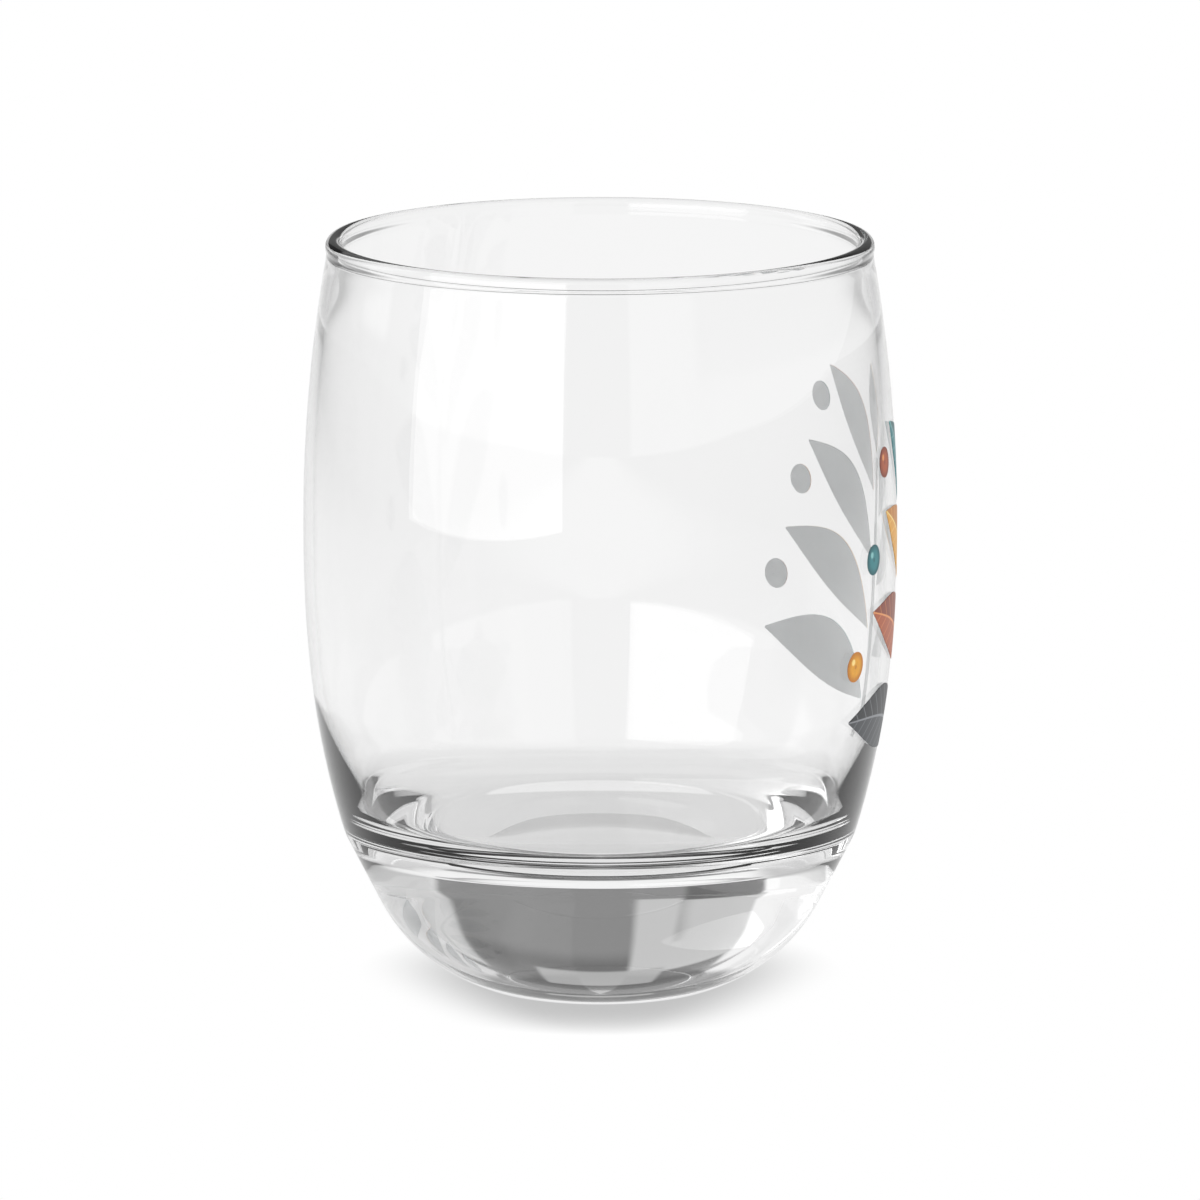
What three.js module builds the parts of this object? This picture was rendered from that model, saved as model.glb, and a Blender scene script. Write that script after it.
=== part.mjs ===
// A printed whisky glass: a one-piece barrel tumbler with a thick clear base, and a leafy sprig printed on its side.
// Millimetres, +Z up, origin at the middle of the foot. The print is centred on +X.
import * as THREE from 'three';

// Glass, outside.
const HEIGHT = 83.8; // foot to the top of the rim
const BELLY_RADIUS = 33; // widest part of the barrel
const BELLY_HEIGHT = 51.2;
const MOUTH_RADIUS = 30.1; // outside of the wall at the rim
const CREASE_RADIUS = 28.6; // where the barrel turns into the base
const CREASE_HEIGHT = 16.9;
const CREASE_EASE = 1.1; // height over which that turn is rounded
const KNUCKLE_RADIUS = 21.4; // corner that the base's flank and heel would meet in, rounded off
const KNUCKLE_HEIGHT = 2.7;
const HEEL_HEIGHT = 9.4; // the flank is straight down to here
const FOOT_RADIUS = 14.4;
const UPPER_FULLNESS = 2; // powers of the barrel's two curves
const LOWER_FULLNESS = 2.4;

// Glass, inside.
const WALL = 1.1;
const RIM_SWELL = 0.3; // the melted rim stands this far out of the wall outside
const NECK_HEIGHT = 1.3; // height over which it swells
const RIM_THICKENING = 0.4; // inside, the wall thickens this much towards the rim
const THICKENING_HEIGHT = 10; // height over which it thickens
const FLOOR_HEIGHT = 16.6; // thickness of the base
const TAPER_HEIGHT = 28.5; // below here the wall thickens towards the base
const TAPER_EASE = 8; // height over which the inside turns into that taper
const TAPER = 1.1; // how much the wall would have thickened at the floor
const CORNER_RISE = 5.2; // the corner between wall and floor is rounded from this far above the floor
const CORNER_RUN = 10.3; // and to this far in along it

// Print.
const PRINT_HEIGHT = 47; // middle of the design above the foot
const INK_GAP = 0.1;
const INK_THICKNESS = 0.1;
const STEM_FOOT = -22; // heights in the design are from its middle
const STEM_TOP = 11;
const STEM_WIDTH = 1.3;
const STEM_SWAY = 1.5;
const LOWEST_LEAF = -19.5; // where the lowest left leaf leaves the stem
const PAIR_PITCH = 8; // from one pair of leaves up to the next
const RIGHT_LAG = 2.5; // a right leaf leaves the stem this far above the left one
const LOWEST_RISE = 12; // rise of the lowest pair above level, in degrees
const RISE_STEP = 12; // each pair is this much steeper than the one below
const LONGEST_LEAF = 23;
const LEAF_SHORTENING = 2; // each pair is this much shorter than the one below
const WIDEST_LEAF = 7.2;
const LEAF_NARROWING = 0.4; // and this much narrower
const LEAF_TIP_WIDTH = 0.5;
const LEAF_BOW = 1.2; // how far a leaf's midrib bows upwards
const LEAF_STANDOFF = 1.6; // a leaf starts this far from the middle of the stem
const TOP_LEAF_LENGTH = 10;
const TOP_LEAF_WIDTH = 4.6;
const TOP_LEAF_GAP = 0.8; // between the stem's end and the top leaf
const BERRY_RADIUS = 1.7;

const INKS = { rust: 0xa8481c, amber: 0xe0991f, teal: 0x2f7d84, charcoal: 0x36393d };

// The two sides of the stem, with the inks of their leaves and berries from the bottom up.
const LEFT = {
  name: 'left', side: -1, lag: 0,
  leafInks: ['charcoal', 'rust', 'amber', 'teal'],
  berryInks: ['amber', 'teal', 'rust'],
};
const RIGHT = {
  name: 'right', side: 1, lag: RIGHT_LAG,
  leafInks: ['teal', 'amber', 'charcoal', 'rust'],
  berryInks: ['rust', 'amber', 'teal'],
};

// Steps of the curves.
const TURN_STEPS = 60;
const HEEL_STEPS = 7;
const EASE_STEPS = 3;
const BARREL_STEPS = 8;
const NECK_STEPS = 4;
const RIM_STEPS = 10;
const CORNER_STEPS = 7;
const FILM_STEPS_ALONG = 10;
const FILM_STEPS_ACROSS = 3;
const BERRY_SIDES = 20;

const rimRadius = (WALL + RIM_SWELL + RIM_THICKENING) / 2;
const rimHeight = HEIGHT - rimRadius;

/** Outside radius of the barrel at a height. */
function barrelRadius(z) {
  if (z >= BELLY_HEIGHT) {
    const share = (z - BELLY_HEIGHT) / (rimHeight - BELLY_HEIGHT);
    return BELLY_RADIUS - (BELLY_RADIUS - MOUTH_RADIUS) * share ** UPPER_FULLNESS;
  }
  const share = (BELLY_HEIGHT - z) / (BELLY_HEIGHT - CREASE_HEIGHT);
  return BELLY_RADIUS - (BELLY_RADIUS - CREASE_RADIUS) * share ** LOWER_FULLNESS;
}

/** How fast the barrel's radius grows with height. */
function barrelSlope(z) {
  const step = WALL / 100;
  return (barrelRadius(z + step) - barrelRadius(z - step)) / (2 * step);
}

/** Points of the barrel, drawn in by an inset, at even heights between two heights but not at them. */
function barrelPoints(from, to, inset) {
  const points = [];
  for (let i = 1; i < BARREL_STEPS; i++) {
    const z = from + ((to - from) * i) / BARREL_STEPS;
    points.push(new THREE.Vector2(barrelRadius(z) - inset, z));
  }
  return points;
}

/** The base outside: foot, rounded heel, straight flank and the rounded turn into the barrel. */
function basePoints() {
  const foot = new THREE.Vector2(FOOT_RADIUS, 0);
  const knuckle = new THREE.Vector2(KNUCKLE_RADIUS, KNUCKLE_HEIGHT);
  const crease = new THREE.Vector2(CREASE_RADIUS, CREASE_HEIGHT);
  const onFlank = (z) => knuckle.clone().lerp(crease, (z - KNUCKLE_HEIGHT) / (CREASE_HEIGHT - KNUCKLE_HEIGHT));
  const easeTop = CREASE_HEIGHT + CREASE_EASE / 2;
  const heel = new THREE.QuadraticBezierCurve(foot, knuckle, onFlank(HEEL_HEIGHT));
  const easeEnd = new THREE.Vector2(barrelRadius(easeTop), easeTop);
  const ease = new THREE.QuadraticBezierCurve(onFlank(CREASE_HEIGHT - CREASE_EASE / 2), crease, easeEnd);
  return [...heel.getPoints(HEEL_STEPS), ...ease.getPoints(EASE_STEPS)];
}

/** One side of the wall below the rim, swelling from its plain line to a place on the rim. */
function neckPoints(end, inset, height) {
  const swell = end.x - (barrelRadius(end.y) - inset);
  const points = [];
  for (let i = 0; i < NECK_STEPS; i++) {
    const share = i / NECK_STEPS;
    const z = end.y - height * (1 - share);
    const plain = barrelRadius(z) - inset;
    points.push(new THREE.Vector2(plain + swell * THREE.MathUtils.smoothstep(share, 0, 1), z));
  }
  return points;
}

/** The melted rim: the wall swells on both sides and is round over the top. */
function rimPoints() {
  const lean = Math.atan(-barrelSlope(rimHeight));
  const middle = barrelRadius(rimHeight) + RIM_SWELL - rimRadius;
  const top = new THREE.EllipseCurve(middle, rimHeight, rimRadius, rimRadius, lean, lean + Math.PI);
  const bead = top.getPoints(RIM_STEPS);
  const neck = neckPoints(bead[0], 0, NECK_HEIGHT);
  const thickening = neckPoints(bead.at(-1), WALL, THICKENING_HEIGHT);
  return [...neck, ...bead, ...thickening.reverse()];
}

/** The inside from the wall down: it turns into the taper, then round the corner to the floor's edge. */
function cornerPoints() {
  const bend = new THREE.Vector2(barrelRadius(TAPER_HEIGHT) - WALL, TAPER_HEIGHT);
  const corner = new THREE.Vector2(barrelRadius(FLOOR_HEIGHT) - WALL - TAPER, FLOOR_HEIGHT);
  const onTaper = (z) => corner.clone().lerp(bend, (z - FLOOR_HEIGHT) / (TAPER_HEIGHT - FLOOR_HEIGHT));
  const easeTop = TAPER_HEIGHT + TAPER_EASE / 2;
  const start = new THREE.Vector2(barrelRadius(easeTop) - WALL, easeTop);
  const ease = new THREE.QuadraticBezierCurve(start, bend, onTaper(TAPER_HEIGHT - TAPER_EASE / 2));
  const end = new THREE.Vector2(corner.x - CORNER_RUN, FLOOR_HEIGHT);
  const round = new THREE.QuadraticBezierCurve(onTaper(FLOOR_HEIGHT + CORNER_RISE), corner, end);
  return [...ease.getPoints(EASE_STEPS), ...round.getPoints(CORNER_STEPS)];
}

const base = basePoints();
const rim = rimPoints();
const corner = cornerPoints();
const outside = [...base, ...barrelPoints(base.at(-1).y, rim[0].y, 0), ...rim];

/** The whole glass, turned about its axis from one profile. */
function glassGeometry() {
  const profile = [
    new THREE.Vector2(0, 0),
    ...outside,
    ...barrelPoints(rim.at(-1).y, corner[0].y, WALL),
    ...corner,
    new THREE.Vector2(0, FLOOR_HEIGHT),
  ];
  return new THREE.LatheGeometry(profile, TURN_STEPS).rotateX(Math.PI / 2);
}

/** Outside radius of the glass at a height, read off its profile. */
function outsideRadius(z) {
  const next = outside.findIndex((point) => point.y > z);
  const below = outside[next - 1];
  const above = outside[next];
  return THREE.MathUtils.mapLinear(z, below.y, above.y, below.x, above.x);
}

/** Lays a flat geometry on the glass: place gives a point's (across, up) in the design, and its depth in the ink. */
function wrap(geometry, place) {
  const position = geometry.attributes.position;
  for (let i = 0; i < position.count; i++) {
    const [across, up, depth] = place(position.getX(i), position.getY(i), position.getZ(i));
    const z = PRINT_HEIGHT + up;
    const radius = outsideRadius(z) + INK_GAP + depth * INK_THICKNESS;
    const angle = across / BELLY_RADIUS;
    position.setXYZ(i, radius * Math.cos(angle), radius * Math.sin(angle), z);
  }
  return geometry;
}

/** A film along a midline: midline gives the point and heading at a share of its length, width its width there. */
function filmGeometry(midline, width) {
  const film = new THREE.BoxGeometry(1, 1, 1, FILM_STEPS_ALONG, FILM_STEPS_ACROSS, 1);
  return wrap(film, (x, y, z) => {
    const { across, up, heading } = midline(x + 0.5);
    const offset = y * width(x + 0.5);
    return [across - offset * Math.sin(heading), up + offset * Math.cos(heading), z + 0.5];
  });
}

/** Middle of the stem at a height in the design. */
function stemAcross(up) {
  return STEM_SWAY * Math.sin((Math.PI * (up - STEM_FOOT)) / (STEM_TOP - STEM_FOOT));
}

function stemGeometry() {
  const midline = (share) => {
    const up = STEM_FOOT + share * (STEM_TOP - STEM_FOOT);
    return { across: stemAcross(up), up, heading: Math.PI / 2 };
  };
  return filmGeometry(midline, () => STEM_WIDTH);
}

/** A pointed leaf that starts at a place, with its midrib bowed to one side. */
function leafGeometry(across, up, heading, bow, length, width) {
  const midline = (share) => {
    const rib = bow * Math.sin(Math.PI * share);
    return {
      across: across + share * length * Math.cos(heading) - rib * Math.sin(heading),
      up: up + share * length * Math.sin(heading) + rib * Math.cos(heading),
      heading,
    };
  };
  return filmGeometry(midline, (share) => LEAF_TIP_WIDTH + (width - LEAF_TIP_WIDTH) * Math.sin(Math.PI * share));
}

/** Rise above level, in radians, at a pair of leaves or between two pairs. */
function riseAt(pair) {
  return THREE.MathUtils.degToRad(LOWEST_RISE + pair * RISE_STEP);
}

/** Height on the stem where a side's leaf leaves it. */
function budHeight(half, pair) {
  return LOWEST_LEAF + half.lag + pair * PAIR_PITCH;
}

function sideLeafGeometry(half, pair) {
  const up = budHeight(half, pair);
  const across = stemAcross(up) + half.side * LEAF_STANDOFF;
  const heading = half.side > 0 ? riseAt(pair) : Math.PI - riseAt(pair);
  const length = LONGEST_LEAF - pair * LEAF_SHORTENING;
  const width = WIDEST_LEAF - pair * LEAF_NARROWING;
  return leafGeometry(across, up, heading, half.side * LEAF_BOW, length, width);
}

/** A round dot between the tips of two leaves on one side. */
function berryGeometry(half, lowerPair) {
  const reach = LONGEST_LEAF - lowerPair * LEAF_SHORTENING;
  const rise = riseAt(lowerPair + 0.5);
  const across = half.side * (LEAF_STANDOFF + reach * Math.cos(rise));
  const up = budHeight(half, lowerPair + 0.5) + reach * Math.sin(rise);
  const disc = new THREE.CylinderGeometry(BERRY_RADIUS, BERRY_RADIUS, 1, BERRY_SIDES);
  return wrap(disc, (x, y, z) => [across + z, up + x, y + 0.5]);
}

function ink(name) {
  return new THREE.MeshStandardMaterial({ color: INKS[name], roughness: 0.45, metalness: 0 });
}

const glass = new THREE.Group();

function addPart(name, geometry, material) {
  const mesh = new THREE.Mesh(geometry, material);
  mesh.name = name;
  glass.add(mesh);
}

const clearGlass = new THREE.MeshStandardMaterial({
  color: 0xf1f5f4, roughness: 0.02, metalness: 0, transparent: true, opacity: 0.3,
});
addPart('glass_tumbler', glassGeometry(), clearGlass);

addPart('print_stem', stemGeometry(), ink('charcoal'));
for (const half of [LEFT, RIGHT]) {
  half.leafInks.forEach((colour, pair) => {
    addPart(`print_leaf_${half.name}_${pair + 1}`, sideLeafGeometry(half, pair), ink(colour));
  });
}
const topFoot = STEM_TOP + TOP_LEAF_GAP;
const topLeaf = leafGeometry(stemAcross(STEM_TOP), topFoot, Math.PI / 2, 0, TOP_LEAF_LENGTH, TOP_LEAF_WIDTH);
addPart('print_leaf_top', topLeaf, ink('amber'));
LEFT.berryInks.forEach((colour, gap) => {
  addPart(`print_berry_${gap + 1}`, berryGeometry(LEFT, gap), ink(colour));
});
RIGHT.berryInks.forEach((colour, gap) => {
  addPart(`print_berry_${LEFT.berryInks.length + gap + 1}`, berryGeometry(RIGHT, gap), ink(colour));
});

export default glass;
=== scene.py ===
import math

import bpy
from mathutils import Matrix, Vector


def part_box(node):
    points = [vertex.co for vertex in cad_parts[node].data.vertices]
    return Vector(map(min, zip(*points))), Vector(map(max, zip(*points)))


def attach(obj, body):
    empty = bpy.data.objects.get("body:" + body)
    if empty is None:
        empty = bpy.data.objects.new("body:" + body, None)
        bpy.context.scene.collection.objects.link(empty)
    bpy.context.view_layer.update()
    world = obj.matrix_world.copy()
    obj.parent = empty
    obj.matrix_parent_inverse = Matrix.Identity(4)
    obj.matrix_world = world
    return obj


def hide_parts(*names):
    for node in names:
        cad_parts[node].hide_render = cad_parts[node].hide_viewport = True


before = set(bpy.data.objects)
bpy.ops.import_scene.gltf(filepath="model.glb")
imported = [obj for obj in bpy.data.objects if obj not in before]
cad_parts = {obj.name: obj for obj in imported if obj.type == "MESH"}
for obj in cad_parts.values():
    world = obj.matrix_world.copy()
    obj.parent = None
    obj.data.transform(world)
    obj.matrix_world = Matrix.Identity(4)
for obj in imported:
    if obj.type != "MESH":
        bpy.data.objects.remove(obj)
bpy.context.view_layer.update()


# Tumbler: one piece of clear soda-lime glass, a barrel bowl on a thick solid base with a crease between them.
# Inside, the wall thickens towards a wide rounded corner and a flat floor. A flame melted the rim round,
# which leaves a bead a little thicker than the wall.
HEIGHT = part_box("glass_tumbler")[1][2]
BELLY_RADIUS = 0.0330
BELLY_HEIGHT = 0.0512
MOUTH_RADIUS = 0.0301
CREASE_RADIUS = 0.0286
CREASE_HEIGHT = 0.0169
CREASE_EASE = 0.0011
KNUCKLE_RADIUS = 0.0214
KNUCKLE_HEIGHT = 0.0027
HEEL_HEIGHT = 0.0094
FOOT_RADIUS = 0.0144
UPPER_FULLNESS = 2
LOWER_FULLNESS = 2.4
WALL = 0.0011
RIM_SWELL = 0.0003
NECK_HEIGHT = 0.0013
RIM_THICKENING = 0.0004
THICKENING_HEIGHT = 0.010
FLOOR_HEIGHT = 0.0166
TAPER_HEIGHT = 0.0285
TAPER_EASE = 0.008
TAPER = 0.0011
CORNER_RISE = 0.0052
CORNER_RUN = 0.0103
HEEL_STEPS = 36
STRAIGHT_STEPS = 6
CREASE_STEPS = 14
OUTER_WALL_STEPS = 90
NECK_STEPS = 14
BEAD_STEPS = 28
INNER_WALL_STEPS = 70
EASE_STEPS = 26
CORNER_STEPS = 44
TURN_STEPS = 256
MERGE_DISTANCE = 0.000001
SMOOTH_ANGLE = math.radians(20)
GLASS_INDEX = 1.5
SCUFF_HEIGHT = 0.0004
SCUFF_ROUGHNESS = 0.12
SCUFF_SCALE = 900
SCUFF_DETAIL = 4

rim_radius = (WALL + RIM_SWELL + RIM_THICKENING) / 2
rim_height = HEIGHT - rim_radius


def barrel_radius(z):
    """Outside radius of the barrel at a height."""
    if z >= BELLY_HEIGHT:
        share = (z - BELLY_HEIGHT) / (rim_height - BELLY_HEIGHT)
        return BELLY_RADIUS - (BELLY_RADIUS - MOUTH_RADIUS) * share ** UPPER_FULLNESS
    share = (BELLY_HEIGHT - z) / (BELLY_HEIGHT - CREASE_HEIGHT)
    return BELLY_RADIUS - (BELLY_RADIUS - CREASE_RADIUS) * share ** LOWER_FULLNESS


def barrel_slope(z):
    """How fast the barrel's radius grows with height."""
    step = WALL / 100
    return (barrel_radius(z + step) - barrel_radius(z - step)) / (2 * step)


def even_steps(start, end, count):
    return [start + (end - start) * i / count for i in range(count + 1)]


def between(p, q, share):
    return (p[0] + (q[0] - p[0]) * share, p[1] + (q[1] - p[1]) * share)


def rounded(start, corner, end, count):
    """Points of a corner that is rounded off between two places on its sides."""
    shares = even_steps(0, 1, count)
    return [between(between(start, corner, t), between(corner, end, t), t) for t in shares]


def barrel_points(start, end, inset, count):
    return [(barrel_radius(z) - inset, z) for z in even_steps(start, end, count)]


def base_points():
    """Foot, heel, flank and the crease into the barrel."""
    knuckle = (KNUCKLE_RADIUS, KNUCKLE_HEIGHT)
    crease = (CREASE_RADIUS, CREASE_HEIGHT)

    def on_flank(z):
        return between(knuckle, crease, (z - KNUCKLE_HEIGHT) / (CREASE_HEIGHT - KNUCKLE_HEIGHT))

    ease_top = CREASE_HEIGHT + CREASE_EASE / 2
    ease_foot = on_flank(CREASE_HEIGHT - CREASE_EASE / 2)
    heel = rounded((FOOT_RADIUS, 0), knuckle, on_flank(HEEL_HEIGHT), HEEL_STEPS)
    flank = [on_flank(z) for z in even_steps(HEEL_HEIGHT, ease_foot[1], STRAIGHT_STEPS)[1:-1]]
    ease = rounded(ease_foot, crease, (barrel_radius(ease_top), ease_top), CREASE_STEPS)
    return [*heel, *flank, *ease]


def neck_points(end, inset, height):
    """One side of the wall below the bead, swelling smoothly to a place on the bead."""
    swell = end[0] - (barrel_radius(end[1]) - inset)
    points = []
    for share in even_steps(0, 1, NECK_STEPS)[:-1]:
        z = end[1] - height * (1 - share)
        points.append((barrel_radius(z) - inset + swell * share * share * (3 - 2 * share), z))
    return points


def rim_points():
    """The rim: the wall swells on both sides, outside over a short neck, and is round over the top."""
    lean = math.atan(-barrel_slope(rim_height))
    middle = barrel_radius(rim_height) + RIM_SWELL - rim_radius
    bead = []
    for angle in even_steps(lean, lean + math.pi, BEAD_STEPS):
        bead.append((middle + rim_radius * math.cos(angle), rim_height + rim_radius * math.sin(angle)))
    neck = neck_points(bead[0], 0, NECK_HEIGHT)
    return [*neck, *bead, *reversed(neck_points(bead[-1], WALL, THICKENING_HEIGHT))]


def corner_points():
    """The inside from the wall down: a taper, then round the corner to the edge of the floor."""
    bend = (barrel_radius(TAPER_HEIGHT) - WALL, TAPER_HEIGHT)
    corner = (barrel_radius(FLOOR_HEIGHT) - WALL - TAPER, FLOOR_HEIGHT)

    def on_taper(z):
        return between(corner, bend, (z - FLOOR_HEIGHT) / (TAPER_HEIGHT - FLOOR_HEIGHT))

    ease_top = TAPER_HEIGHT + TAPER_EASE / 2
    ease_foot = TAPER_HEIGHT - TAPER_EASE / 2
    corner_top = FLOOR_HEIGHT + CORNER_RISE
    floor_edge = (corner[0] - CORNER_RUN, FLOOR_HEIGHT)
    ease = rounded((barrel_radius(ease_top) - WALL, ease_top), bend, on_taper(ease_foot), EASE_STEPS)
    taper = [on_taper(z) for z in even_steps(ease_foot, corner_top, STRAIGHT_STEPS)[1:-1]]
    return [*ease, *taper, *rounded(on_taper(corner_top), corner, floor_edge, CORNER_STEPS)]


def turned(name, profile):
    """A solid turned about the axis: one point is drawn out along the profile, and the line is spun."""
    start = (0, 0, profile[0][1])
    bpy.ops.object.select_all(action="DESELECT")
    bpy.ops.mesh.primitive_circle_add(vertices=3, radius=WALL, enter_editmode=True, location=start)
    bpy.ops.mesh.merge(type="CENTER")
    for here, there in zip(profile, profile[1:]):
        step = (there[0] - here[0], 0, there[1] - here[1])
        bpy.ops.mesh.extrude_vertices_move(TRANSFORM_OT_translate={"value": step})
    bpy.ops.mesh.select_all(action="SELECT")
    bpy.ops.mesh.spin(steps=TURN_STEPS, angle=math.tau, center=(0, 0, 0), axis=(0, 0, 1))
    bpy.ops.mesh.select_all(action="SELECT")
    bpy.ops.mesh.remove_doubles(threshold=MERGE_DISTANCE)
    bpy.ops.mesh.normals_make_consistent(inside=False)
    bpy.ops.object.mode_set(mode="OBJECT")
    bpy.ops.object.transform_apply(location=True, rotation=True, scale=True)
    piece = bpy.context.object
    piece.name = piece.data.name = name
    return piece


base = base_points()
rim = rim_points()
corner = corner_points()
outer_wall = barrel_points(base[-1][1], rim[0][1], 0, OUTER_WALL_STEPS)[1:-1]
inner_wall = barrel_points(rim[-1][1], corner[0][1], WALL, INNER_WALL_STEPS)[1:-1]
outline = [(0, 0), *base, *outer_wall, *rim, *inner_wall, *corner, (0, FLOOR_HEIGHT)]
tumbler = turned("tumbler", outline)
bpy.ops.object.shade_smooth_by_angle(angle=SMOOTH_ANGLE)


def new_material(name):
    material = bpy.data.materials.new(name)
    material.use_nodes = True
    return material, material.node_tree, material.node_tree.nodes["Principled BSDF"]


def add_node(tree, kind, inputs=None, **settings):
    """A node with its settings made, and each named input set to a value or linked to an output."""
    node = tree.nodes.new(kind)
    for key, value in settings.items():
        setattr(node, key, value)
    for key, value in (inputs or {}).items():
        if isinstance(value, bpy.types.NodeSocket):
            tree.links.new(value, node.inputs[key])
        else:
            node.inputs[key].default_value = value
    return node


def maths(tree, operation, first, second=0.0):
    return add_node(tree, "ShaderNodeMath", {0: first, 1: second}, operation=operation).outputs["Value"]


def noise(tree, place, scale, detail):
    pattern = {"Vector": place, "Scale": scale, "Detail": detail}
    return add_node(tree, "ShaderNodeTexNoise", pattern).outputs["Fac"]


def clear_glass():
    """Clear glass, with fine scuffs on the foot where it has stood on tables."""
    material, tree, shader = new_material("clear_glass")
    shader.inputs["Base Color"].default_value = (1, 1, 1, 1)
    shader.inputs["Transmission Weight"].default_value = 1
    shader.inputs["IOR"].default_value = GLASS_INDEX
    place = add_node(tree, "ShaderNodeTexCoord").outputs["Object"]
    height = add_node(tree, "ShaderNodeSeparateXYZ", {"Vector": place}).outputs["Z"]
    near_foot = {"Value": height, "From Min": SCUFF_HEIGHT, "From Max": 0}
    near_foot |= {"To Min": 0, "To Max": SCUFF_ROUGHNESS}
    worn = add_node(tree, "ShaderNodeMapRange", near_foot).outputs["Result"]
    rough = maths(tree, "MULTIPLY", worn, noise(tree, place, SCUFF_SCALE, SCUFF_DETAIL))
    tree.links.new(rough, shader.inputs["Roughness"])
    return material


tumbler.data.materials.append(clear_glass())
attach(tumbler, "root")
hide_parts("glass_tumbler")


# Print, as a whole: a leafy sprig of islands of satin ink, screen printed over a white undercoat and fired.
# The ink is fused to the glass, so from inside the bowl only its white undercoat shows. It is centred on +X.
# Lengths within the patterns are in millimetres on the film, and shares run from 0 to 1 along or across it.
PRINT_HEIGHT = 0.047
INK_SINK = 0.00002
INK_THICKNESS = 0.00008
INK_ROUGHNESS = 0.42
TO_MM = 1000
GRID_HALF = 0.5
INKS = {
    "rust": {
        "Body": (0.43, 0.085, 0.018, 1),
        "Shade": (0.25, 0.04, 0.009, 1),
        "Line": (0.78, 0.30, 0.09, 1),
    },
    "amber": {
        "Body": (0.78, 0.36, 0.020, 1),
        "Shade": (0.55, 0.19, 0.008, 1),
        "Line": (0.97, 0.72, 0.25, 1),
    },
    "teal": {
        "Body": (0.032, 0.23, 0.255, 1),
        "Shade": (0.012, 0.115, 0.135, 1),
        "Line": (0.24, 0.55, 0.55, 1),
    },
    "charcoal": {
        "Body": (0.050, 0.056, 0.064, 1),
        "Shade": (0.018, 0.021, 0.025, 1),
        "Line": (0.24, 0.25, 0.27, 1),
    },
}
MOTTLE_SCALE = 2600
MOTTLE_DETAIL = 3
MOTTLE_DARKEST = 0.86
MOTTLE_LIGHTEST = 1.12
MOTTLE_RELIEF = 0.5
RELIEF_STRENGTH = 0.35
RELIEF_DISTANCE = 0.00002
LOWER_HALF_EDGE = (-0.06, 0.06)
LEAF_FOOT_FADE = (0.0, 0.42)
LEAF_FOOT_DARKNESS = 0.75
RIB_WIDTH = 0.2
RIB_NARROWING = 0.15
RIB_EDGE = (0.0, 0.06)
VEIN_SLANT = 1.1
VEIN_PITCH = 1.15
VEIN_EDGE = (0.05, 0.13)
VEIN_STRENGTH = 0.7
GLINT_PLACE = (-0.55, 0.6)
GLINT_EDGE = (0.3, 0.42)
EYE_EDGE = (0.12, 0.17)
EYE_DARKNESS = 0.8
BERRY_SHADE_FADE = (0.98, 0.45)
THREAD_SCALE = 1500
THREAD_DETAIL = 2
UNDERCOAT_DARK = (0.87, 0.895, 0.9, 1)
UNDERCOAT_LIGHT = (0.93, 0.945, 0.945, 1)
UNDERCOAT_ROUGHNESS = 0.6


def fade(tree, value, full, none):
    """1 where a value is at the first limit or past it, falling to 0 at the second."""
    limits = {"Value": value, "From Min": none, "From Max": full}
    return add_node(tree, "ShaderNodeMapRange", limits, interpolation_type="SMOOTHSTEP").outputs["Result"]


def blended(tree, factor, first, second):
    mix = add_node(tree, "ShaderNodeMix", {"Factor": factor}, data_type="RGBA")
    for key, value in (("A", first), ("B", second)):
        socket = next(s for s in mix.inputs if s.name == key and s.type == "RGBA")
        if isinstance(value, bpy.types.NodeSocket):
            tree.links.new(value, socket)
        else:
            socket.default_value = value
    return next(s for s in mix.outputs if s.type == "RGBA")


def new_group(name):
    """A node group that takes an ink's three colours, with its place on the film in millimetres."""
    tree = bpy.data.node_groups.new(name, "ShaderNodeTree")
    for colour in ("Body", "Shade", "Line"):
        tree.interface.new_socket(colour, in_out="INPUT", socket_type="NodeSocketColor")
    tree.interface.new_socket("Color", in_out="OUTPUT", socket_type="NodeSocketColor")
    tree.interface.new_socket("Height", in_out="OUTPUT", socket_type="NodeSocketFloat")
    given = tree.nodes.new("NodeGroupInput").outputs
    place = add_node(tree, "ShaderNodeAttribute", attribute_name="film_place").outputs["Vector"]
    return tree, given, add_node(tree, "ShaderNodeSeparateXYZ", {"Vector": place}).outputs


def close_group(tree, colour, height):
    """Adds the fine mottle of a screen print and joins the group's outputs, a colour and a height."""
    where = add_node(tree, "ShaderNodeTexCoord").outputs["Object"]
    mottle = noise(tree, where, MOTTLE_SCALE, MOTTLE_DETAIL)
    tones = {"Value": mottle, "To Min": MOTTLE_DARKEST, "To Max": MOTTLE_LIGHTEST}
    level = add_node(tree, "ShaderNodeMapRange", tones).outputs["Result"]
    tinted = add_node(tree, "ShaderNodeHueSaturation", {"Color": colour, "Value": level}).outputs["Color"]
    raised = maths(tree, "ADD", height, maths(tree, "MULTIPLY", mottle, MOTTLE_RELIEF))
    end = tree.nodes.new("NodeGroupOutput")
    tree.links.new(tinted, end.inputs["Color"])
    tree.links.new(raised, end.inputs["Height"])
    return tree


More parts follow.
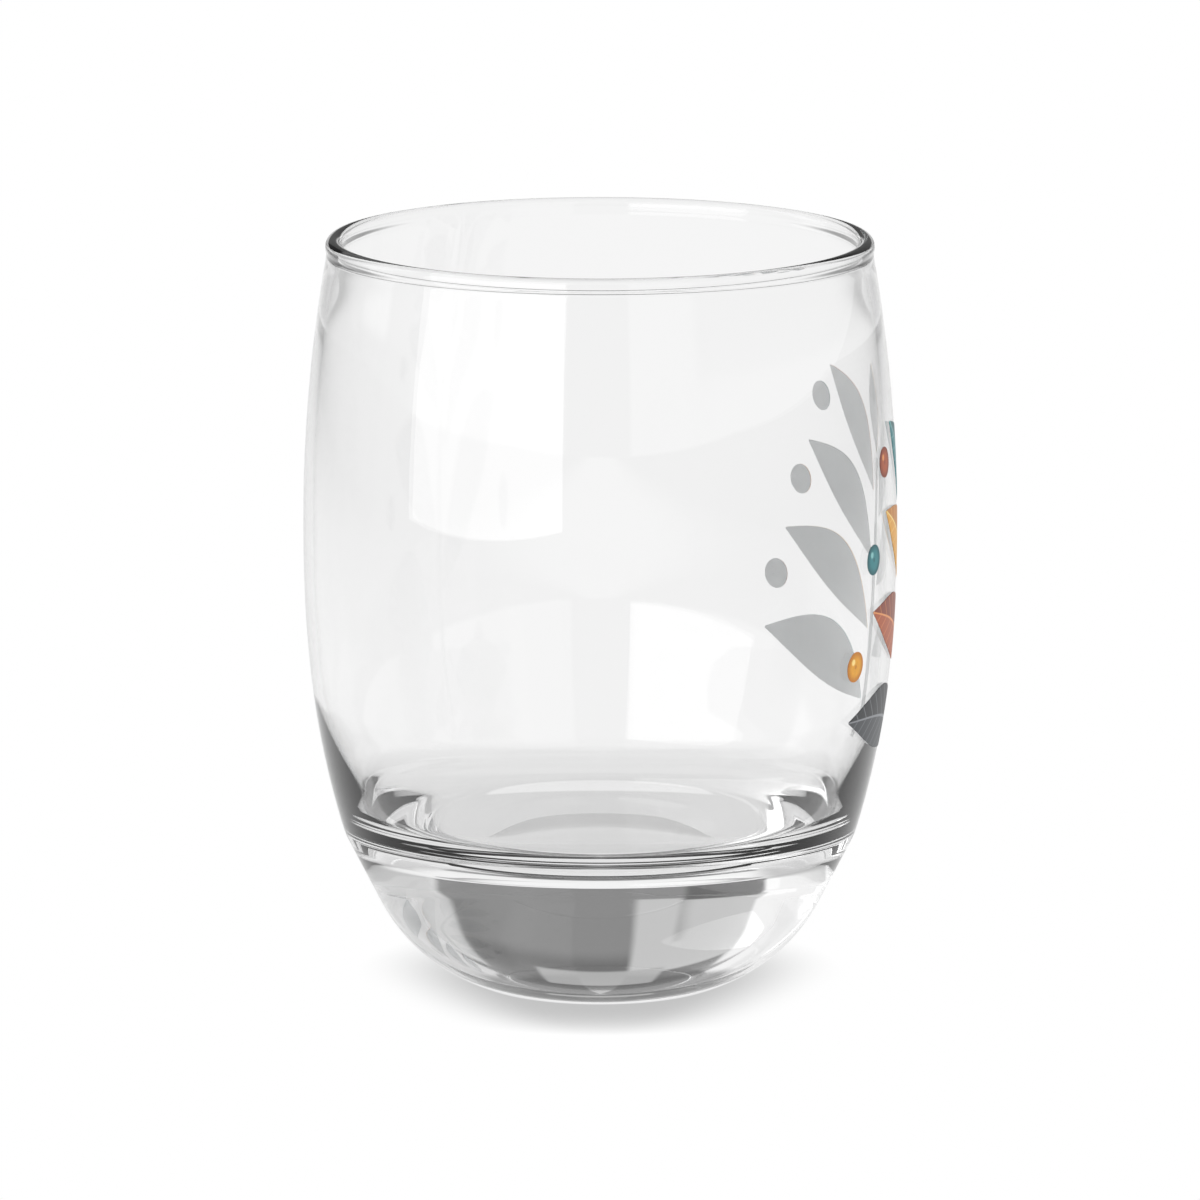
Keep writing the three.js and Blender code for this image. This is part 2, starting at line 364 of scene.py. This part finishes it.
def leaf_group():
    """A leaf in two tones, split along a pale midrib, with slanting side veins and a darker foot."""
    tree, given, place = new_group("leaf_print")
    along, across, share = place["X"], place["Y"], place["Z"]
    aside = maths(tree, "ABSOLUTE", across)
    lower_half = fade(tree, across, *LOWER_HALF_EDGE)
    foot = maths(tree, "MULTIPLY", fade(tree, share, *LEAF_FOOT_FADE), LEAF_FOOT_DARKNESS)
    dark = maths(tree, "MAXIMUM", lower_half, foot)
    rib_width = maths(tree, "SUBTRACT", RIB_WIDTH, maths(tree, "MULTIPLY", share, RIB_NARROWING))
    rib = fade(tree, maths(tree, "SUBTRACT", aside, rib_width), *RIB_EDGE)
    slanted = maths(tree, "SUBTRACT", along, maths(tree, "MULTIPLY", aside, VEIN_SLANT))
    from_vein = maths(tree, "PINGPONG", slanted, VEIN_PITCH)
    vein = maths(tree, "MULTIPLY", fade(tree, from_vein, *VEIN_EDGE), VEIN_STRENGTH)
    lines = maths(tree, "MAXIMUM", rib, vein)
    toned = blended(tree, dark, given["Body"], given["Shade"])
    return close_group(tree, blended(tree, lines, toned, given["Line"]), lines)


def berry_group():
    """A round berry, darker towards its edge, with a pale glint and a dark eye."""
    tree, given, place = new_group("berry_print")
    across, up, share = place["X"], place["Y"], place["Z"]
    glint_side = maths(tree, "POWER", maths(tree, "SUBTRACT", across, GLINT_PLACE[0]), 2)
    glint_up = maths(tree, "POWER", maths(tree, "SUBTRACT", up, GLINT_PLACE[1]), 2)
    from_glint = maths(tree, "SQRT", maths(tree, "ADD", glint_side, glint_up))
    glint = fade(tree, from_glint, *GLINT_EDGE)
    eye = maths(tree, "MULTIPLY", fade(tree, share, *EYE_EDGE), EYE_DARKNESS)
    dark = maths(tree, "MAXIMUM", fade(tree, share, *BERRY_SHADE_FADE), eye)
    toned = blended(tree, dark, given["Body"], given["Shade"])
    return close_group(tree, blended(tree, glint, toned, given["Line"]), glint)


def ink_material(name, group, ink):
    """Satin ink, with its colour and its slight relief from a print's node group."""
    material, tree, shader = new_material(name)
    pattern = add_node(tree, "ShaderNodeGroup", node_tree=group)
    for socket, colour in INKS[ink].items():
        pattern.inputs[socket].default_value = colour
    relief = {"Height": pattern.outputs["Height"], "Strength": RELIEF_STRENGTH, "Distance": RELIEF_DISTANCE}
    bump = add_node(tree, "ShaderNodeBump", relief)
    tree.links.new(pattern.outputs["Color"], shader.inputs["Base Color"])
    tree.links.new(bump.outputs["Normal"], shader.inputs["Normal"])
    shader.inputs["Roughness"].default_value = INK_ROUGHNESS
    return material


def white_undercoat():
    """The white under the ink, a little uneven where the screen's threads lay."""
    material, tree, shader = new_material("white_undercoat")
    where = add_node(tree, "ShaderNodeTexCoord").outputs["Object"]
    threads = noise(tree, where, THREAD_SCALE, THREAD_DETAIL)
    tone = blended(tree, threads, UNDERCOAT_DARK, UNDERCOAT_LIGHT)
    tree.links.new(tone, shader.inputs["Base Color"])
    shader.inputs["Roughness"].default_value = UNDERCOAT_ROUGHNESS
    return material


leaf_print = leaf_group()
berry_print = berry_group()
undercoat = white_undercoat()
leaf_inks = {ink: ink_material("leaf_ink_" + ink, leaf_print, ink) for ink in INKS}
berry_inks = {ink: ink_material("berry_ink_" + ink, berry_print, ink) for ink in INKS}


def flat_grid(name, columns, rows):
    """A flat sheet of quads one unit square, to be shaped."""
    bpy.ops.object.select_all(action="DESELECT")
    bpy.ops.mesh.primitive_grid_add(x_subdivisions=columns, y_subdivisions=rows, size=1)
    piece = bpy.context.object
    piece.name = piece.data.name = name
    piece.data.attributes.new("film_place", "FLOAT_VECTOR", "POINT")
    return piece


def lay_on_glass(piece):
    """Wraps a piece drawn flat, from the middle of the design, on to the barrel and thickens it outwards."""
    for vertex in piece.data.vertices:
        across, up = vertex.co.xy
        z = PRINT_HEIGHT + up
        radius = barrel_radius(z) - INK_SINK
        angle = across / BELLY_RADIUS
        vertex.co = (radius * math.cos(angle), radius * math.sin(angle), z)
    thickness = piece.modifiers.new("thickness", "SOLIDIFY")
    thickness.thickness = INK_THICKNESS
    thickness.offset = 1
    thickness.material_offset = 1
    bpy.ops.object.modifier_apply(modifier="thickness")
    bpy.ops.object.shade_smooth_by_angle(angle=SMOOTH_ANGLE)


def print_film(piece, node, material):
    """Finishes one island of ink: its ink outside, the undercoat inside, and its place on the glass."""
    piece.data.materials.append(material)
    piece.data.materials.append(undercoat)
    lay_on_glass(piece)
    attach(piece, "root")
    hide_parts(node)


# Stem: one thin line of charcoal ink that sways a little, from the foot of the sprig to its top leaf.
# It is widest at its foot and gets thinner all the way up.
STEM_FOOT = -0.022
STEM_TOP = 0.011
STEM_WIDTH = 0.0013
STEM_FOOT_SHARE = 1.25
STEM_THINNING = 0.6
STEM_SWAY = 0.0015
STEM_TONE = 0.5
STEM_COLUMNS = 4
STEM_ROWS = 60


def stem_across(up):
    """Middle of the stem at a height in the design."""
    return STEM_SWAY * math.sin(math.pi * (up - STEM_FOOT) / (STEM_TOP - STEM_FOOT))


stem = flat_grid("ink_stem", STEM_COLUMNS, STEM_ROWS)
for vertex, place in zip(stem.data.vertices, stem.data.attributes["film_place"].data):
    share = vertex.co.y + GRID_HALF
    offset = vertex.co.x * STEM_WIDTH * (STEM_FOOT_SHARE - STEM_THINNING * share)
    up = STEM_FOOT + share * (STEM_TOP - STEM_FOOT)
    place.vector = (share * (STEM_TOP - STEM_FOOT) * TO_MM, offset * TO_MM, STEM_TONE)
    vertex.co = (stem_across(up) + offset, up, 0)
print_film(stem, "print_stem", leaf_inks["charcoal"])


# Leaves: four pairs of pointed leaves that get shorter and steeper up the stem, and one upright leaf at
# its end. Each is an island of its own ink, set off from the stem by a line of bare glass.
LOWEST_LEAF = -0.0195
PAIR_PITCH = 0.008
RIGHT_LAG = 0.0025
LOWEST_RISE = math.radians(12)
RISE_STEP = math.radians(12)
LONGEST_LEAF = 0.023
LEAF_SHORTENING = 0.002
WIDEST_LEAF = 0.0072
LEAF_NARROWING = 0.0004
LEAF_TIP_WIDTH = 0.0002
LEAF_BOW = 0.0012
LEAF_STANDOFF = 0.0016
LEAF_COLUMNS = 56
LEAF_ROWS = 12
TOP_LEAF_LENGTH = 0.010
TOP_LEAF_WIDTH = 0.0046
TOP_LEAF_GAP = 0.0008
SIDES = {
    "left": {
        "side": -1,
        "lag": 0,
        "leaves": ("charcoal", "rust", "amber", "teal"),
        "berries": ("amber", "teal", "rust"),
    },
    "right": {
        "side": 1,
        "lag": RIGHT_LAG,
        "leaves": ("teal", "amber", "charcoal", "rust"),
        "berries": ("rust", "amber", "teal"),
    },
}


def leaf_film(name, foot, heading, bow, length, width):
    """A flat pointed leaf that starts at a place and heads at an angle, with its midrib bowed to one side."""
    leaf = flat_grid(name, LEAF_COLUMNS, LEAF_ROWS)
    cos, sin = math.cos(heading), math.sin(heading)
    for vertex, place in zip(leaf.data.vertices, leaf.data.attributes["film_place"].data):
        share = vertex.co.x + GRID_HALF
        swell = math.sin(math.pi * share)
        offset = vertex.co.y * (LEAF_TIP_WIDTH + (width - LEAF_TIP_WIDTH) * swell)
        place.vector = (share * length * TO_MM, offset * TO_MM, share)
        reach, side = share * length, bow * swell + offset
        vertex.co = (foot[0] + reach * cos - side * sin, foot[1] + reach * sin + side * cos, 0)
    return leaf


for word, half in SIDES.items():
    side = half["side"]
    for pair, ink in enumerate(half["leaves"]):
        up = LOWEST_LEAF + half["lag"] + pair * PAIR_PITCH
        rise = LOWEST_RISE + pair * RISE_STEP
        foot = (stem_across(up) + side * LEAF_STANDOFF, up)
        heading = rise if side > 0 else math.pi - rise
        number = f"{word}_{pair + 1}"
        length = LONGEST_LEAF - pair * LEAF_SHORTENING
        width = WIDEST_LEAF - pair * LEAF_NARROWING
        leaf = leaf_film("ink_leaf_" + number, foot, heading, side * LEAF_BOW, length, width)
        print_film(leaf, "print_leaf_" + number, leaf_inks[ink])
top_foot = (stem_across(STEM_TOP), STEM_TOP + TOP_LEAF_GAP)
top_leaf = leaf_film("ink_leaf_top", top_foot, math.pi / 2, 0, TOP_LEAF_LENGTH, TOP_LEAF_WIDTH)
print_film(top_leaf, "print_leaf_top", leaf_inks["amber"])


# Berries: three small round dots of ink on each side, each between the tips of two leaves.
# Each is an island of its own ink, clear of the leaves and of the stem.
BERRY_RADIUS = 0.0017
BERRY_SIDES = 48
BERRY_RINGS = 5
HALFWAY = 0.5

for word, half in SIDES.items():
    for gap, ink in enumerate(half["berries"]):
        number = gap + 1 + (len(half["berries"]) if half["side"] > 0 else 0)
        reach = LONGEST_LEAF - gap * LEAF_SHORTENING
        rise = LOWEST_RISE + (gap + HALFWAY) * RISE_STEP
        start = LOWEST_LEAF + half["lag"] + (gap + HALFWAY) * PAIR_PITCH
        middle = (half["side"] * (LEAF_STANDOFF + reach * math.cos(rise)), start + reach * math.sin(rise))
        bpy.ops.object.select_all(action="DESELECT")
        bpy.ops.mesh.primitive_circle_add(
            vertices=BERRY_SIDES,
            radius=BERRY_RADIUS,
            fill_type="NGON",
            enter_editmode=True,
        )
        for ring in range(BERRY_RINGS):
            bpy.ops.mesh.inset(thickness=BERRY_RADIUS / (BERRY_RINGS + 1))
        bpy.ops.mesh.poke()
        bpy.ops.object.mode_set(mode="OBJECT")
        berry = bpy.context.object
        berry.name = berry.data.name = f"ink_berry_{number}"
        berry.data.attributes.new("film_place", "FLOAT_VECTOR", "POINT")
        for vertex, place in zip(berry.data.vertices, berry.data.attributes["film_place"].data):
            x, y = vertex.co.xy
            place.vector = (x * TO_MM, y * TO_MM, math.hypot(x, y) / BERRY_RADIUS)
            vertex.co = (middle[0] + x, middle[1] + y, 0)
        print_film(berry, f"print_berry_{number}", berry_inks[ink])


# Camera: a long lens about a metre away, above the rim and looking down a little.
# It stands so that the print wraps round the right-hand edge of the glass.
CAMERA_YAW = math.radians(-10)
CAMERA_PITCH = math.radians(11.089)
CAMERA_DISTANCE = 0.9845
CAMERA_HEIGHT = 0.2358
CAMERA_LENS = 270


def as_seen(right, ahead):
    """A place or direction given as the camera sees it, to the right of the glass and beyond it."""
    cos, sin = math.cos(CAMERA_YAW), math.sin(CAMERA_YAW)
    return right * cos - ahead * sin, right * sin + ahead * cos


bpy.ops.object.camera_add(
    location=(*as_seen(0, -CAMERA_DISTANCE), CAMERA_HEIGHT),
    rotation=(math.pi / 2 - CAMERA_PITCH, 0, CAMERA_YAW),
)
camera = bpy.context.object
camera.data.lens = CAMERA_LENS
bpy.context.scene.camera = camera


# Floor and studio: a white table in a pale room, with a softbox on the left and a dark wall ahead.
# The glass sees the room as it is. The camera sees white with a soft shadow, and the print is lit evenly.
# Each card is a patch of the room, with limits and a soft edge in degrees from the camera's heading.
TABLE_SIZE = 6
TABLE_DROP = 0.0002
TABLE_LEVEL = 0.92
TABLE_BRIGHT_REACH = 0.12
TABLE_DIM_REACH = 0.45
TABLE_DIM_LEVEL = 0.45
SHADE_REACH = (0.03, 0.11)
SHADE_LEVEL = 0.87
SHADOW_REACH = 0.008
SHADOW_LEAN = math.radians(40)
SHADOW_DEPTH = 0.52
SHADOW_SPREAD = (0.0145, 0.0295)
SHADOW_NARROWING = 0.5
SHADOW_SAMPLES = 8
SOFTBOX_PLACE = (-0.113, -0.1285)
SOFTBOX_HEIGHT = 0.110
SOFTBOX_TURN = math.radians(-48)
SOFTBOX_SIZE = (0.195, 0.150)
SOFTBOX_LEVEL = 1.3
ROOM_LEVEL = 0.92
ALL_ROUND = (-181, 181)
CARDS = {
    "dark ceiling": {"azimuth": ALL_ROUND, "elevation": (58, 91), "edge": 3, "level": 0.2},
    "dim left side": {"azimuth": (-100, -31), "elevation": (-6, 8), "edge": 5, "level": 0.55},
    "dim right side": {"azimuth": (31, 140), "elevation": (4, 62), "edge": 3, "level": 0.6},
    "foot of the dark wall": {"azimuth": (-31, 31), "elevation": (5, 91), "edge": 1.5, "level": 0.22},
    "middle of the dark wall": {"azimuth": (-31, 31), "elevation": (24, 91), "edge": 4, "level": 0.11},
    "top of the dark wall": {"azimuth": (-60, 60), "elevation": (42, 91), "edge": 2, "level": 0.05},
    "pale screen on the wall": {"azimuth": (-33, -6), "elevation": (18, 34), "edge": 1, "level": 0.52},
    "dark stand by the screen": {"azimuth": (-31, -14), "elevation": (5, 20), "edge": 1, "level": 0.08},
    "pale lamp on the wall": {"azimuth": (-14, 14), "elevation": (31, 45), "edge": 1, "level": 0.4},
    "strip light": {"azimuth": (-80, -62), "elevation": (8, 45), "edge": 2, "level": 1.7},
    "door on the left": {"azimuth": (-181, -166), "elevation": (-60, 90), "edge": 1, "level": 0.5},
    "door on the right": {"azimuth": (168, 181), "elevation": (-60, 90), "edge": 1, "level": 0.5},
}

bpy.ops.object.select_all(action="DESELECT")
bpy.ops.mesh.primitive_plane_add(size=TABLE_SIZE, location=(0, 0, -TABLE_DROP))
floor = bpy.context.object
floor.name = "floor"
material, tree = new_material("white_table")[:2]
place = add_node(tree, "ShaderNodeTexCoord").outputs["Object"]


def floor_distance(right, ahead):
    """How far a place on the floor lies from the axis in one direction."""
    line = {0: place, 1: (*as_seen(right, ahead), 0)}
    return add_node(tree, "ShaderNodeVectorMath", line, operation="DOT_PRODUCT").outputs["Value"]


def mixed(factor, first, second):
    values = {"Factor": factor, "A": first, "B": second}
    return add_node(tree, "ShaderNodeMix", values, data_type="FLOAT").outputs["Result"]


aside = maths(tree, "ABSOLUTE", floor_distance(1, 0))
leaning = dict(zip("XYZ", (*as_seen(0, math.sin(SHADOW_LEAN)), math.cos(SHADOW_LEAN))))
lean = add_node(tree, "ShaderNodeCombineXYZ", leaning).outputs["Vector"]
nearby = {"Distance": SHADOW_REACH, "Normal": lean}
open_sky = add_node(tree, "ShaderNodeAmbientOcclusion", nearby, samples=SHADOW_SAMPLES).outputs["AO"]
narrowing = maths(tree, "MULTIPLY", floor_distance(0, -1), SHADOW_NARROWING)
spread = maths(tree, "ADD", aside, narrowing)
depth = maths(tree, "MULTIPLY", fade(tree, spread, *SHADOW_SPREAD), SHADOW_DEPTH)
shadow = maths(tree, "MULTIPLY", maths(tree, "SUBTRACT", 1, open_sky), depth)
shaded = maths(tree, "SUBTRACT", 1, shadow)
rays = add_node(tree, "ShaderNodeLightPath").outputs
dimmed = {"Value": aside, "From Min": TABLE_BRIGHT_REACH, "From Max": TABLE_DIM_REACH}
dimmed |= {"To Min": TABLE_LEVEL, "To Max": TABLE_DIM_LEVEL}
dimming = add_node(tree, "ShaderNodeMapRange", dimmed, interpolation_type="SMOOTHSTEP").outputs["Result"]
from_axis = add_node(tree, "ShaderNodeVectorMath", {0: place}, operation="LENGTH").outputs["Value"]
near_glass = {"Value": fade(tree, from_axis, *SHADE_REACH), "To Min": 1, "To Max": SHADE_LEVEL}
shade = add_node(tree, "ShaderNodeMapRange", near_glass).outputs["Result"]
table_level = maths(tree, "MULTIPLY", dimming, shade)
unseen = mixed(rays["Diffuse Depth"], table_level, 1)
strength = mixed(rays["Is Camera Ray"], unseen, shaded)
glow = add_node(tree, "ShaderNodeEmission", {"Strength": strength})
tree.links.new(glow.outputs["Emission"], tree.nodes["Material Output"].inputs["Surface"])
floor.data.materials.append(material)

bpy.ops.object.light_add(
    type="AREA",
    location=(*as_seen(*SOFTBOX_PLACE), SOFTBOX_HEIGHT),
    rotation=(math.pi / 2, 0, SOFTBOX_TURN + CAMERA_YAW),
)
softbox = bpy.context.object
softbox.data.shape = "RECTANGLE"
softbox.data.size, softbox.data.size_y = SOFTBOX_SIZE
softbox.data.energy = SOFTBOX_LEVEL * math.pi * SOFTBOX_SIZE[0] * SOFTBOX_SIZE[1]

studio = bpy.data.worlds.new("studio")
studio.use_nodes = True
bpy.context.scene.world = studio
tree = studio.node_tree


def inside(value, limits, edge):
    """1 between two limits and 0 outside them, with soft edges."""
    low, high = limits
    above = fade(tree, value, low + edge, low - edge)
    return maths(tree, "MULTIPLY", above, fade(tree, value, high - edge, high + edge))


direction = add_node(tree, "ShaderNodeTexCoord").outputs["Generated"]
turned_back = {"Vector": direction, "Rotation": (0, 0, -CAMERA_YAW)}
facing = add_node(tree, "ShaderNodeMapping", turned_back, vector_type="POINT").outputs["Vector"]
parts = add_node(tree, "ShaderNodeSeparateXYZ", {"Vector": facing}).outputs
azimuth = maths(tree, "DEGREES", maths(tree, "ARCTAN2", parts["X"], parts["Y"]))
elevation = maths(tree, "DEGREES", maths(tree, "ARCSINE", parts["Z"]))
level = ROOM_LEVEL
for card in CARDS.values():
    sideways = inside(azimuth, card["azimuth"], card["edge"])
    upwards = inside(elevation, card["elevation"], card["edge"])
    level = mixed(maths(tree, "MULTIPLY", sideways, upwards), level, card["level"])
rays = add_node(tree, "ShaderNodeLightPath").outputs
plain = maths(tree, "MAXIMUM", rays["Is Camera Ray"], rays["Diffuse Depth"])
tree.links.new(mixed(plain, level, 1), tree.nodes["Background"].inputs["Strength"])
tree.nodes["Background"].inputs["Color"].default_value = (1, 1, 1, 1)
bpy.context.scene.view_settings.view_transform = "Standard"
